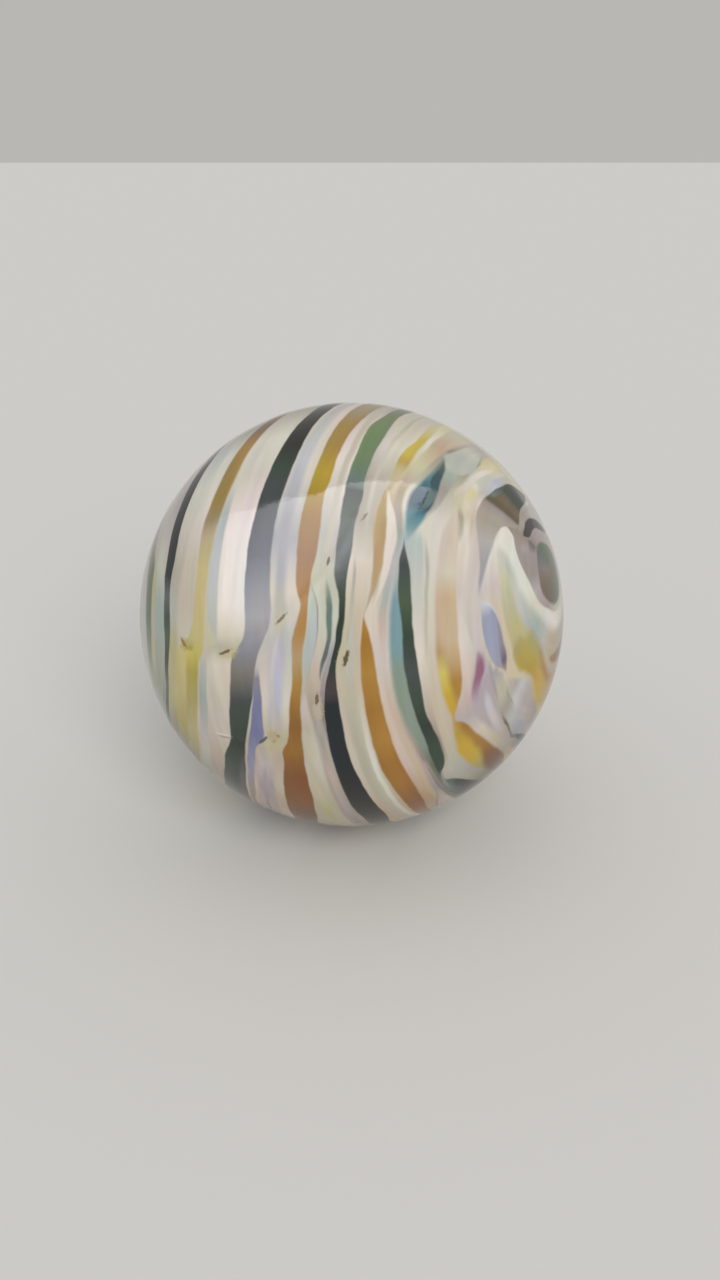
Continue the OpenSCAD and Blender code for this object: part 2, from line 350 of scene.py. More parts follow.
# Ribbons, laid one over the other from the eye to the far end: name, width of the soft edges, tints, top
# line and, for a band, foot line. Lines are the down angle at each round angle, and a ribbon covers all
# that lies past its top line, or only as far as its foot line. Tints are the glass at each round angle,
# or the glass and its cover. Angles are degrees, and what stands at round -180 closes the ring at 180.
ribbons = [
    ("eyeCore", 1.6, {-180: ("umber", 0.8), 0: ("bark", 0.8)},
     {-180: 0}, {-180: 2.6, -90: 3.4, 0: 2.2, 90: 3}),
    ("eyeRing", 1.4, {-180: "stone", -120: "bone", -88: "bone", -60: "mauve", -20: "dove", 0: "ash",
      30: "mauve", 47: "taupe", 58: "mauve", 90: "mauve", 120: "stone"},
     {-180: 6.8, -120: 7.5, -90: 8, -60: 8.8, -30: 10, 0: 9.5, 20: 9.5, 50: 10.3, 65: 10, 80: 9.2, 95: 8.6,
      130: 8.5}),
    ("eyeShade", 1.6, {29: ("smoke", 0), 36: ("smoke", 0.8), 44: ("slate", 0.9), 48: ("smoke", 0)},
     {30: 12.5, 37: 11.2, 44: 11.2, 48: 13}, {30: 13.5, 37: 15, 44: 15.6, 48: 14}),
    ("fogPatch", 2, {20: ("iris", 0), 30: ("dove", 0.6), 42: ("thistle", 0)},
     {20: 16.5, 30: 15.6, 42: 16.2}, {20: 18, 30: 18.8, 42: 18}),
    ("comma", 1, {-179: ("bone", 0), -150: "bone", -90: "chalk", -60: "swan", -30: "ivory", -10: "swan",
      10: "swan", 25: "swan", 40.4: "chalk", 41.6: ("chalk", 0)},
     {-179: 8.5, -150: 9, -120: 9.4, -90: 9.9, -75: 10.2, -60: 10.8, -50: 11.7, -40: 12.6, -30: 13.3,
      -20: 13.9, -10: 14.8, 0: 16, 10: 17.9, 20: 20.2, 30: 22.3, 37: 23.8, 41: 27}),
    ("commaShade", 3.4, {-179: ("taupe", 0), -145: "taupe", -105: "stone", -85: "biscuit", -65: "fog",
      -48: "celadon", -25: "fog", -5: "pearl", 12: "fog", 22: "pearl", 29: ("pearl", 0)},
     {-179: 13, -120: 13.5, -90: 14.2, -60: 14.4, -45: 15.2, -30: 16.6, -15: 18.4, 0: 21, 10: 22.4, 20: 25,
      28: 29}),
    ("emberStreak", 1.2, {-179: ("stone", 0), -140: "chestnut", -112: "chestnut", -98: "rust",
      -88: "caramel", -83: ("tan", 0)},
     {-179: 14, -150: 14.5, -120: 18, -105: 19.5, -90: 20.4, -84: 21},
     {-179: 20, -150: 20.5, -120: 23.5, -105: 23, -90: 22, -84: 21.4}),
    ("commaGold", 2.2, {-179: ("stone", 0), -145: "khaki", -115: "honey", -95: "caramel", -80: "amber",
      -60: "olive", -45: "olive", -36: "khaki", -25: "khaki", -10: "lichen", 8: "primrose", 20: "pearl",
      28: ("pearl", 0)},
     {-179: 20, -150: 22, -120: 25, -100: 25, -90: 24.2, -80: 22.6, -72: 21, -65: 20, -50: 19.8, -40: 20.4,
      -30: 21.6, -15: 22.8, 0: 23.6, 15: 26, 26: 29}),
    ("commaOlive", 2, {-110: ("mustard", 0), -90: "mustard", -78: "gold", -62: "mustard", -45: "oliveGold",
      -36: "olive", -28: ("khaki", 0)},
     {-90: 26, -75: 24, -62: 22.6, -45: 22.6, -33: 23.6, -28: 24}),
    ("commaStraw", 1.4, {-179: ("fog", 0), -145: "lichen", -110: "ochre", -85: "gold", -68: "peach",
      -58: "primrose", -48: "primrose", -30: "primrose", -10: "primrose", 6: "petal", 16: "ivory",
      28: "chalk", 36: "ivory", 40: ("ivory", 0)},
     {-179: 27, -150: 28, -120: 31, -100: 31.2, -90: 30.2, -80: 28.8, -72: 26.9, -65: 26.2, -55: 26.8,
      -47: 27.8, -40: 27.8, -30: 27, -15: 27.6, 0: 28.2, 10: 28.8, 22: 30}),
    ("foldWedge", 1.3, {2: ("dove", 0), 4: "lilac", 10: "pewter", 18: "pewter", 28: "dove", 38: "stone",
      46: "stone", 50: "bark", 52: ("bark", 0)},
     {0: 38, 3: 36.2, 6: 35.5, 10: 34.8, 15: 34, 20: 33, 25: 32, 30: 31.3, 36: 30.2, 40: 28.5, 41.6: 27,
      43: 24.5, 50: 22}),
    ("backFold", 1.6, {43: ("ash", 0), 46: "ash", 56: "stone", 66: "mauve", 80: "dove", 92: "dove",
      145: "stone", 180: ("taupe", 0)},
     {44: 20.5, 50: 19.5, 60: 19, 80: 18, 100: 16, 115: 15, 180: 13}),
    ("foldHook", 0.8, {43: "plum", 47: "plum", 60: "plum", 62: "plum", 75: "soot", 90: "soot", 104: "plum",
      120: "dusk"},
     {42: 19, 43.5: 18.5, 45: 17.2, 48: 15.9, 51: 15.3, 60: 15.2, 70: 15.2, 80: 14.6, 90: 13.8, 100: 13.4,
      110: 13.7, 120: 15.5},
     {42: 18.8, 43.5: 18.8, 47: 19.1, 55: 19.3, 60: 19.8, 65: 19.6, 75: 19.1, 85: 18.3, 95: 17.3, 105: 16.4,
      112: 16, 120: 15.6}),
    ("hookRim", 0.7, {64: ("lichen", 0), 70: "stone", 90: "pearl"},
     {66: 23.2, 75: 23.3, 85: 23.8, 92: 25}, {66: 23.6, 75: 24.3, 85: 24.8, 92: 26}),
    ("darkArch", 0.9, {47: ("taupe", 0), 50: "umber", 53: "umber", 57: "bark", 62: "umber", 66: "bottle",
      72: "soot", 77: "soot", 81: "slate", 85: "slate", 88: "pine", 93: "reed"},
     {46: 24.5, 48: 22.9, 51: 22.3, 56: 22.8, 60: 23.5, 66: 24.2, 75: 24.5, 82: 25, 88: 26.5, 93: 28.8},
     {46: 38.8, 50: 38.2, 55: 37.1, 60: 36.3, 65: 35.2, 75: 34.4, 80: 33.2, 85: 31.4, 93: 28.9}),
    ("archGreen", 1, {51: ("fern", 0), 55: "steel", 61: "slate", 66: "pine", 70: ("fern", 0)},
     {52: 36.2, 57: 34.9, 63: 33.8, 70: 34}, {52: 37.8, 57: 36.8, 63: 35.7, 70: 35}),
    ("greyBlock", 1, {-179: ("dove", 0), -145: "dove", -90: "taupe", -74: "dove", -68: "dove", -58: "mist",
      -52: "dove", -46: "bone", -40: "pearl", -35: ("lichen", 0)},
     {-179: 31, -150: 32, -120: 34, -105: 33.6, -95: 31.8, -88: 30.6, -80: 29.6, -72: 28, -65: 27.2,
      -58: 27.8, -50: 29.2, -44: 30.4, -38: 31, -30: 30}),
    ("blockFoot", 1.1, {-179: ("fog", 0), -140: "fog", -90: "mauve", -76: "pewter", -64: "fog",
      -54: "stone", -47: "bone", -40: "bone", -32: "pewter", -28: ("bone", 0)},
     {-179: 34, -95: 33.8, -75: 33, -65: 32.9, -58: 32.3, -50: 32.4, -44: 31.7, -38: 31.6, -34: 32.5}),
    ("blockLine", 0.5, {-61: ("sage", 0), -56: "sage", -50: "sage", -45: ("sage", 0)},
     {-60: 32.2, -55: 31.9, -50: 31.9, -46: 31.4}, {-60: 32.4, -55: 32.5, -50: 32.5, -46: 31.8}),
    ("teardrop", 0.7, {-37: "ash", -33: "pewter", -29: "iris", -24: "iris", -20: "iris", -12: "iris",
      -6: "iris", -2: "lilac", 1: "moon"},
     {-40: 30.9, -37.5: 30.5, -35: 29.9, -30: 29.5, -25: 29.4, -20: 29.5, -15: 29.7, -10: 30.3, -6: 31.2,
      -3: 32.3, 0: 34, 2: 36},
     {-40: 30.8, -37.5: 30.9, -35: 31.4, -32: 32.4, -28: 33.4, -22: 34.2, -15: 34.9, -8: 35.2, -3: 35.3,
      2: 35}),
    ("teardropTip", 1, {-38: "mauve", -33: "navy", -25: ("flint", 0.8), -14: ("flint", 0.5),
      -8: ("iris", 0)},
     {-38: 30.3, -33: 29.4, -25: 29.2, -14: 29.5, -8: 30.6},
     {-38: 30.7, -33: 31.1, -25: 30.9, -14: 30.5, -8: 30.8}),
    ("teardropRim", 0.5, {-16: "shell", -6: "mist", 3: "mist"},
     {-16: 29.3, -12: 29.5, -8: 30.1, -5: 30.9, -2: 32.1, 0: 33.3, 2: 35, 3: 36},
     {-16: 29.4, -12: 29.9, -8: 30.6, -5: 31.5, -2: 32.8, 0: 34.2, 2: 36, 3: 36.4}),
    ("lip", 0.8, {-180: "blush", -110: "stone", -90: "slate", -75: "stone", -60: "dove", -45: "dove",
      -32: "thistle", -15: "petal", 0: "petal", 15: "petal", 25: "petal", 35: "oat", 45: "ivory", 52: "fog",
      60: "mist", 66: "lilac", 74: "fog", 85: "primrose", 110: "bone", 150: "dove"},
     {-180: 38, -110: 37.6, -95: 37, -85: 36.2, -75: 36.4, -65: 35.7, -55: 35.5, -38: 35, -25: 34.9,
      -15: 35.1, -5: 35.5, 0: 35.8, 5: 36.3, 15: 36.1, 20: 36.4, 25: 37, 30: 38, 35: 39.2, 40: 39.7,
      45: 39.2, 50: 38.5, 55: 37.3, 60: 36.5, 65: 35.4, 75: 34.7, 80: 33.5, 85: 31.6, 93: 30, 120: 30,
      150: 35}),
    ("lipLine", 0.5, {-179: ("slate", 0), -145: "slate", -130: "plum", -100: "plum", -90: "soot",
      -83: "midnight", -77: "steel", -70: "smoke", -62: "bark", -54: "taupe"},
     {-179: 40, -120: 38.6, -110: 38, -100: 36.8, -90: 35.6, -80: 35.4, -75: 35.9, -70: 35.6, -65: 35.1,
      -60: 34.9, -54: 35.2},
     {-179: 40.5, -120: 40.2, -110: 39.4, -100: 38.4, -90: 37, -80: 36.3, -75: 36.6, -70: 36.1, -65: 35.7,
      -60: 35.5, -54: 35.3}),
    ("lipShade", 0.8, {-52: ("sage", 0), -40: "stone", -28: "pewter", -20: ("fog", 0)},
     {-52: 35.2, -40: 34.2, -30: 33.9, -20: 34.4}, {-52: 35.4, -40: 34.9, -30: 34.9, -20: 34.9}),
    ("magentaSpot", 1.5, {-44: ("mauve", 0), -37: ("thistle", 0.7), -32: "orchid", -27: "magenta",
      -22: "magenta", -18: "orchid", -15: ("mist", 0)},
     {-41: 40.4, -36: 39.4, -31: 38.2, -28: 36.8, -25: 35.8, -22: 35.8, -19: 36.4, -16: 37.4},
     {-41: 41.2, -36: 41.2, -31: 40.8, -27: 39.6, -24: 38.7, -20: 38.1, -16: 37.6}),
    ("lipPale", 1.1, {-66: ("dove", 0), -52: "petal", -40: "mist", -33: ("petal", 0)},
     {-66: 36.4, -52: 36.2, -42: 36.2, -33: 36.8}, {-66: 37.4, -52: 37.8, -42: 38, -33: 37.4}),
    ("lipCream", 1.4, {-180: "cream", -110: "dove", -90: "apricot", -75: "stone", -60: "oat", -48: "cream",
      -38: "dove", -32: "blush", -24: "shell", -10: "ivory", 8: "petal", 20: "ivory", 30: "chalk",
      40: "primrose", 50: "pearl", 62: "pearl", 75: "ivory", 110: "biscuit"},
     {-180: 41, -110: 40, -90: 38.4, -75: 38, -60: 38, -50: 39, -42: 40.4, -34: 41, -27: 40.2, -18: 38.4,
      -10: 39.2, 0: 40.6, 20: 40, 30: 40.8, 40: 41, 50: 40.4, 65: 38.5, 80: 37, 100: 36, 140: 39}),
    ("lemonSpot", 1.6, {32: ("straw", 0), 40: "ivory", 45: ("butter", 0.8), 49: ("butter", 0.9),
      53: "chalk", 57: ("straw", 0)},
     {32: 42.4, 40: 41.2, 47: 40.8, 53: 41.8, 57: 43}, {32: 42.6, 40: 43.9, 46: 44.6, 51: 43.7, 57: 43.2}),
    ("rightStraw", 2, {58: ("straw", 0), 66: "butter", 78: "butter", 95: "biscuit", 120: ("biscuit", 0)},
     {58: 43, 66: 41.6, 78: 40.4, 95: 40, 120: 42}, {58: 44, 66: 44.8, 78: 45.6, 95: 46, 120: 44}),
    ("rightRidge", 0.8, {41: "shell", 50: "ivory", 62: "chalk", 75: "butter", 90: ("oat", 0)},
     {41: 47, 46: 44.9, 50: 43.9, 55: 43, 60: 42, 65: 41, 72: 39.8, 82: 38.6, 100: 38},
     {41: 47.1, 46: 46.7, 50: 45.6, 55: 44.7, 60: 43.8, 65: 42.8, 72: 41.4, 82: 40.2, 100: 39.2}),
    ("firstAmber", 0.9, {-179: ("cream", 0), -130: "tan", -105: "taupe", -88: "chestnut", -75: "chestnut",
      -65: "rust", -58: "caramel", -48: "amber", -40: "caramel", -36: "ochre", -32: "ochre", -27: "amber",
      -22: "amber", -17: "apricot", -8: "peach", 6: "peach", 14: "cream", 24: "shell", 33: "cream",
      38: ("oat", 0)},
     {-179: 43, -120: 44, -100: 43.4, -92: 42.6, -85: 41, -80: 40, -75: 39.5, -70: 39.5, -65: 39.8,
      -60: 40.1, -55: 40.6, -50: 41.4, -45: 42.3, -41: 43.2, -38: 44.6, -36: 46.2, -34: 46, -32: 45,
      -30: 44.2, -28: 43.2, -25: 42.6, -20: 42.3, -10: 42.4, 0: 42.6, 10: 43, 20: 43.4, 28: 43.6, 36: 44.4}),
    ("firstGold", 2.2, {-84: ("biscuit", 0), -72: "hazel", -64: "oliveGold", -58: "gold", -48: "gold",
      -42: "mustard", -37: "ochre", -31: "gold", -26: "gold", -18: "lemon", -11: "apricot",
      -2: ("peach", 0)},
     {-80: 44.6, -70: 43.8, -63: 43, -58: 42.7, -52: 43.4, -45: 44.4, -40: 45.2, -36: 46.2, -32: 45.4,
      -28: 45, -22: 45.5, -12: 46.3, -2: 47.4}),
    ("blueNotch", 1.2, {24: ("bone", 0), 28: "bone", 35: "stone", 40: ("stone", 0)},
     {24: 42.8, 28: 42.7, 33: 42.9, 37: 43.6, 40: 45}, {24: 43.2, 28: 44, 33: 44.5, 37: 45.2, 40: 45.5}),
    ("milk", 1.2, {-180: "cream", -110: "stone", -90: "smoke", -80: "reed", -70: "stone", -60: "dove",
      -50: "bone", -40: "oat", -25: "oat", -5: "cream", 15: "ivory", 30: "ivory", 42: "bone", 55: "stone",
      75: "blush", 110: "oat"},
     {-180: 46, -120: 46.5, -100: 45.6, -90: 44.9, -80: 44.8, -72: 45, -65: 45.9, -60: 46.5, -55: 47.1,
      -50: 47.6, -45: 47.2, -40: 46.9, -35: 46.7, -30: 47.2, -20: 48, -5: 48.2, 20: 48, 28: 47.6, 34: 46.6,
      38: 46.2, 43: 47, 50: 46, 60: 45, 80: 45, 120: 46}),
    ("milkWhite", 1, {-60: ("ivory", 0), -45: "taupe", -10: "ivory", 15: "fog", 22: "ice", 28: ("pearl", 0)},
     {-40: 50.4, -20: 50.8, 0: 51.2, 12: 51.4, 20: 52, 26: 53.2}),
    ("milkLine", 0.9, {-14: ("bone", 0), -5: "bone", 16: "dove", 25: ("dove", 0)},
     {-12: 50.2, 5: 50, 12: 50.1, 18: 50.5, 24: 51.8}, {-12: 50.8, 5: 50.9, 12: 51, 18: 51.5, 24: 52.3}),
    ("tealBase", 1.6, {-179: ("lagoon", 0), -130: "lagoon", -90: "iron", -65: "smoke", -50: "reed",
      -40: "lagoon", -25: "lagoon", -15: "lagoon", -8: "sea", -2: "sea", 4: "sea", 11: "celadon", 18: "ice",
      22: ("ice", 0)},
     {-179: 52, -120: 53, -90: 54.2, -70: 54.2, -60: 53.8, -50: 53, -30: 53.5, -5: 54.5, 10: 56, 18: 57.4,
      22: 58},
     {-179: 55, -120: 56, -90: 56.5, -70: 55.8, -60: 55.2, -45: 55.4, -40: 56.1, -35: 57, -30: 57.9,
      -20: 58.9, -10: 59.1, 0: 58.9, 10: 58, 18: 57.6, 22: 58}),
    ("pineEnd", 0.7, {-179: ("pine", 0), -135: "pine", -100: "soot", -85: "soot", -74: "soot",
      -66: "bottle", -60: "steel"},
     {-179: 49, -120: 49.5, -100: 48.6, -85: 48.4, -75: 48.8, -70: 49.5, -66: 50.4, -63: 51.6, -60: 53.5},
     {-179: 53, -120: 54, -90: 54.4, -75: 54.2, -66: 53.8, -60: 53.6}),
    ("pineEndFade", 3, {-135: ("steel", 0), -110: "smoke", -80: "soot", -66: "steel", -60: ("lagoon", 0)},
     {-120: 52.5, -90: 52.6, -75: 52.3, -66: 52.8, -60: 53.5},
     {-120: 55, -90: 55.6, -75: 55.3, -66: 54.8, -60: 54}),
    ("pine", 0.6, {-58: "steel", -54: "pine", -42: "pine", -34: "bottle", -26: "pine", -15: "iron",
      -5: "pine", 4: "forest", 14: "iron", 19: "slate", 23: "steel"},
     {-58: 54.2, -55: 53.4, -53: 52.1, -50: 51.3, -45: 51, -40: 51.1, -35: 51.7, -30: 52.4, -20: 52.6,
      -10: 53.2, -5: 53.5, 5: 53.9, 10: 54.3, 15: 55, 19: 56.2, 23: 56.9},
     {-58: 54, -50: 54, -40: 54.2, -30: 54.9, -20: 55.6, -12: 56.2, -5: 56, 0: 56.3, 5: 56.8, 10: 57.1,
      15: 57.1, 19: 56.8, 23: 56.7}),
    ("arcGrey", 0.8, {28: ("dove", 0), 34: "dove", 42: "stone", 50: "celadon", 56: "fog", 62: ("fog", 0)},
     {28: 52.8, 32: 51, 35: 50, 40: 48.9, 43: 48.3, 48: 47.7, 53: 48.2, 58: 49.6, 62: 51},
     {28: 53, 33: 51.5, 35: 51.2, 45: 51, 53: 51.7, 57: 52.2, 62: 51.4}),
    ("rightLens", 0.9, {51: ("pearl", 0), 54: "fog", 62: "fog", 70: "pearl", 80: "dove", 100: "bone",
      120: ("bone", 0)},
     {50: 48.8, 54: 46.4, 58: 45, 63: 44.4, 68: 44.6, 73: 45.7, 85: 47, 100: 47.5, 120: 49},
     {50: 49.6, 54: 52, 58: 53, 62: 52.7, 68: 51.4, 76: 50.2, 90: 50, 120: 49.4}),
    ("lensLine", 0.5, {60: ("sage", 0), 66: "sage", 72: "lichen", 78: ("olive", 0)},
     {60: 44.2, 66: 44.2, 71: 44.8, 76: 46}, {60: 44.4, 66: 44.8, 71: 45.5, 76: 46.4}),
    ("lensFoot", 0.8, {56: ("mauve", 0), 61: "taupe", 67: "stone", 80: ("stone", 0)},
     {56: 53, 60: 52, 66: 50.8, 72: 50, 80: 49.4}, {56: 53.4, 60: 53, 66: 51.8, 72: 50.8, 80: 49.8}),
    ("rightTeal", 1.3, {20: "frost", 25: "sea", 29: "teal", 33: "harbour", 38: "harbour", 44: "teal",
      50: "steel", 55: "lagoon", 60: "fog"},
     {20: 56.3, 25: 54.2, 28: 53, 31: 52.3, 33: 51.6, 36: 51.2, 45: 51, 50: 51.1, 53: 51.7, 56: 52.4,
      60: 53.2},
     {20: 56.3, 25: 56.8, 30: 57.3, 35: 57.2, 38: 56.6, 40: 55.9, 43: 54.9, 47: 53.8, 52: 53, 56: 52.9,
      60: 53.3}),
    ("rightTealDark", 0.6, {39: ("deepSea", 0), 40.4: "deepSea", 47: "deepSea", 52: "slate", 55: "steel"},
     {38: 51.3, 40: 51.1, 45: 51, 50: 51.1, 53: 51.7, 55: 52.2},
     {38: 51.5, 40: 52.6, 43: 53.5, 47: 52.9, 51: 52.3, 55: 52.3}),
    ("tealShade", 0.8, {30: ("steel", 0), 34: "steel", 39: "steel", 41: ("steel", 0)},
     {30: 54.3, 33: 52.4, 37: 51.4, 40: 51.3}, {30: 54.5, 33: 53.8, 37: 53.3, 40: 53.2}),
    ("secondCream", 1.1, {-180: "oat", -100: "mauve", -75: "blush", -62: "mauve", -48: "rose", -36: "blush",
      -25: "blush", -12: "petal", -2: "blush", 5: "celadon", 14: "fog", 21: "celadon", 28: "stone",
      36: "hazel", 40: "blush", 46: "primrose", 60: "peach", 75: "primrose", 110: "oat"},
     {-180: 56, -110: 57.4, -90: 57, -75: 56, -65: 55.8, -55: 55.7, -50: 55.8, -45: 56.4, -40: 57,
      -35: 57.8, -30: 58.5, -20: 59.4, -10: 59.6, 0: 59.4, 5: 59, 10: 58.2, 16: 57.4, 22: 57.1, 27: 57.6,
      32: 58.4, 36: 58.3, 40: 57.3, 44: 56.1, 50: 54.8, 55: 53.9, 60: 53.2, 65: 52.4, 72: 51.3, 82: 51,
      100: 52, 140: 54}),
    ("plumLine", 0.7, {-110: ("dusk", 0), -85: "umber", -72: "smoke", -60: "smoke", -50: "taupe",
      -46: ("mauve", 0)},
     {-110: 57, -85: 55.6, -75: 54.9, -65: 55.2, -55: 55.2, -47: 55.8},
     {-110: 58, -85: 56.6, -75: 55.9, -65: 55.9, -55: 55.8, -47: 56}),
    ("tuck", 0.6, {-78: "smoke", -71: "taupe", -66: "taupe", -60: ("stone", 0)},
     {-78: 60.4, -73: 59, -70: 58, -66: 57.2, -60: 56.6},
     {-78: 61.4, -73: 59.9, -70: 58.9, -66: 57.9, -60: 56.8}),
    ("secondTan", 1, {-75: ("biscuit", 0), -62: "biscuit", -50: "peach", -40: "oat", -28: ("cream", 0)},
     {-75: 58, -60: 57.2, -50: 57, -42: 57.6, -34: 58.6, -28: 59.8},
     {-75: 60, -60: 59, -50: 58.6, -42: 59, -34: 59.8, -28: 60.2}),
    ("secondBlush", 1, {-180: "cream", -90: "stone", -65: "tan", -45: "shell", -25: "shell", -10: "petal",
      2: "cream", 10: "bone", 24: "tan", 34: "biscuit", 45: "primrose", 60: "chalk", 75: "butter",
      110: "cream"},
     {-180: 58.5, -100: 60, -80: 60.8, -65: 58.6, -50: 58.6, -40: 59, -30: 60.2, -20: 60.8, -10: 61,
      0: 61.4, 5: 60.6, 12: 59.8, 22: 59.4, 30: 60.4, 36: 60.2, 42: 59, 50: 58, 60: 57, 72: 56.4, 110: 57}),
    ("whiteHump", 0.7, {3: "ivory", 18: "chalk", 36: "cream"},
     {3: 62.2, 7: 60.7, 10: 59.8, 15: 58.8, 20: 58.3, 25: 58.9, 29: 60.1, 33: 61.7, 36: 62.3},
     {3: 62.4, 8: 61.5, 12: 61, 16: 60.7, 22: 60.9, 27: 61.4, 31: 62, 36: 62.5}),
    ("secondAmber", 0.7, {-179: ("cream", 0), -140: "caramel", -100: "rust", -75: "copper", -65: "rust",
      -52: "caramel", -42: "caramel", -34: "amber", -24: "caramel", -14: "amber", -6: "caramel",
      -1: "amber", 3: "stone", 10: "tan", 18: "tan", 26: "honey", 34: "honey"},
     {-179: 62, -130: 63.4, -100: 64, -85: 63.5, -75: 62.6, -70: 61.7, -65: 61, -60: 60.6, -55: 60.4,
      -50: 60.6, -40: 61.3, -30: 61.8, -20: 62.2, -10: 62.7, -5: 63.2, -2: 64, 0: 64.6, 3: 63.6, 6: 62.5,
      10: 61.6, 15: 60.9, 20: 60.9, 25: 61.4, 30: 62, 34: 62.5},
     {-179: 64, -130: 65.6, -100: 67, -85: 66.6, -72: 65.7, -60: 65.2, -50: 65.6, -40: 66, -20: 66,
      -10: 65.7, -5: 65.2, 0: 64.8, 3: 64, 6: 63.4, 12: 62.9, 16: 63, 20: 63.5, 25: 63.8, 30: 63.6,
      34: 63.2}),
    ("lemonHaze", 1.6, {38: ("cream", 0), 46: "butter", 62: "butter", 74: ("butter", 0)},
     {38: 60, 50: 60, 60: 60, 74: 60}, {38: 61, 44: 63, 54: 63.4, 66: 62.6, 74: 61}),
    ("lemonRibbon", 0.9, {31: ("cream", 0), 35: "hazel", 39: "lichen", 43: "khaki", 46: "ochre",
      50: "citron", 59: "citron", 66: "straw", 75: "primrose", 84: ("khaki", 0)},
     {32: 62.6, 35: 61.8, 38: 61, 42: 60.1, 46: 59.4, 50: 59.1, 55: 58.8, 60: 58.3, 66: 58.2, 74: 58.8,
      84: 60}, {32: 62.8, 36: 62.6, 42: 62.5, 50: 62.2, 55: 61.6, 60: 61, 66: 60.7, 74: 60.4, 84: 60.4}),
    ("thirdCream", 0.6, {-180: "ivory", -90: "oat", -65: "biscuit", -40: "cream", -15: "oat", 0: "oat",
      14: "ivory", 24: "stone", 34: "stone", 50: "ivory", 66: "cream", 110: "cream"},
     {-180: 64.2, -130: 65.8, -100: 67.2, -85: 66.8, -72: 65.9, -60: 65.4, -50: 65.8, -40: 66.2, -20: 66.2,
      -10: 65.9, -5: 65.4, 0: 65, 3: 64.2, 6: 63.6, 12: 63.1, 16: 63.2, 20: 63.7, 25: 64, 30: 63.8, 35: 63,
      42: 62.6, 50: 61.8, 60: 60.4, 70: 60.4, 90: 61.4, 130: 63}),
    ("stoneBand", 1.2, {-179: ("stone", 0), -130: "stone", -60: "oat", -35: "bone", -18: "bone", -6: "fog",
      6: ("fog", 0)},
     {-179: 66.4, -110: 68.4, -75: 68, -60: 67.4, -40: 67.6, -25: 67.6, -15: 67.2, -8: 66.8, 0: 66.8,
      6: 66.6},
     {-179: 68, -110: 70.8, -75: 70.5, -60: 70.3, -40: 70.5, -25: 70.5, -15: 69.8, -8: 68.9, 0: 67.6,
      6: 67}),
    ("creamRidge", 0.8, {-179: ("ivory", 0), -90: "cream", -60: "ivory", -40: "chalk", -18: ("ivory", 0)},
     {-179: 65.6, -110: 67.2, -60: 66.4, -40: 66.5, -18: 66.5},
     {-179: 66.4, -110: 68, -60: 67.6, -40: 67.6, -18: 67}),
    ("greyStreak", 0.5, {-8: ("stone", 0), -3: "bone", 10: "dove", 16: ("stone", 0)},
     {-8: 68.4, -3: 67.6, 4: 66.8, 10: 66.5, 16: 67.1}, {-8: 68.8, -3: 68.3, 4: 67.6, 10: 67.2, 16: 67.4}),
    ("sideStreak", 0.7, {18: ("dove", 0), 30: "dove", 50: "cream", 65: "bone", 100: ("bone", 0)},
     {18: 65, 30: 65.3, 45: 65, 65: 64, 100: 65}, {18: 65.3, 30: 66.2, 45: 66, 65: 65, 100: 65.6}),
    ("nearBlack", 0.5, {-180: "bottle", -130: "soot", -90: "soot", -74: "soot", -60: "soot", -40: "ink",
      -26: "ink", -21: "ink", -19: "plum", -15: "plum", -13: "bottle", 0: "bottle", 16: "slate", 27: "pine",
      32.6: "ink", 34.4: "steel", 44: "moss", 58: "moss", 75: "reed", 110: "forest", 145: "pine"},
     {-180: 70, -130: 72.5, -100: 74.8, -85: 74.6, -75: 73.4, -70: 72.2, -65: 71.5, -50: 71.6, -35: 72,
      -30: 71.8, -22: 71.6, -12: 71.4, -8: 70.3, -5: 69.5, 2: 68.8, 8: 68.6, 12: 68.3, 17: 68, 22: 68.2,
      27: 67.8, 31: 67.6, 36: 68, 45: 68, 55: 67.7, 65: 68, 90: 68.6, 130: 69}),
    ("blackFoot", 0.6, {-180: "ivory", -100: "dove", -80: "taupe", -65: "stone", -45: "rose", -32: "dove",
      -24: "stone", -14: "oat", 0: "pearl", 10: "bone", 20: "dove", 40: "chalk", 58: "ivory", 80: "mauve",
      130: "ivory"},
     {-180: 73, -130: 76, -100: 79.4, -85: 79.6, -75: 78.5, -70: 77.7, -65: 77.2, -60: 77.3, -50: 76.8,
      -40: 76.3, -30: 75.9, -25: 75.6, -20: 75, -15: 74, -12: 73, -10: 72.5, -7: 71.6, -5: 71.2, 0: 70.3,
      4: 70.2, 8: 71, 12: 71.5, 20: 71.5, 30: 71.9, 40: 72, 50: 72.2, 56: 72.4, 62: 71.8, 68: 71.2,
      90: 71.6, 130: 72}),
    ("blackHem", 0.5, {-30: "mauve", -22: "smoke", -16: "mauve", -9: "pewter", -3: "petal"},
     {-30: 75.8, -25: 75.5, -20: 74.9, -15: 73.9, -12: 72.9, -10: 72.4, -7: 71.5, -5: 71.1, -3: 71},
     {-30: 75.9, -25: 76.1, -20: 75.9, -15: 75, -12: 74, -10: 73.3, -7: 72.3, -5: 71.6, -3: 71}),
    ("greenLeaf", 0.6, {-14: "steel", -9: "slate", -3: "steel", 3: "steel", 9: "sage"},
     {-14: 75, -11: 73.9, -9: 73.1, -5: 72.1, -2: 71.7, 1: 71.6, 5: 72, 9: 73},
     {-14: 75.3, -11: 74.8, -9: 74.2, -5: 73, -2: 72.9, 1: 72.9, 5: 73.2, 9: 73.3}),
    ("hairGrey", 1, {-3: ("bone", 0), 8: ("oat", 0.7), 30: ("bone", 0.8), 60: ("oat", 0.8), 100: ("oat", 0)},
     {-3: 73.2, 5: 73, 15: 72.7, 65: 72.6, 100: 73},
     {-3: 73.8, 5: 73.8, 15: 73.8, 30: 74.1, 65: 74.1, 100: 74}),
    ("roseLine", 0.6, {-100: ("mauve", 0), -75: "smoke", -58: "thistle", -42: "blush", -30: "stone",
      -22: ("lilac", 0)},
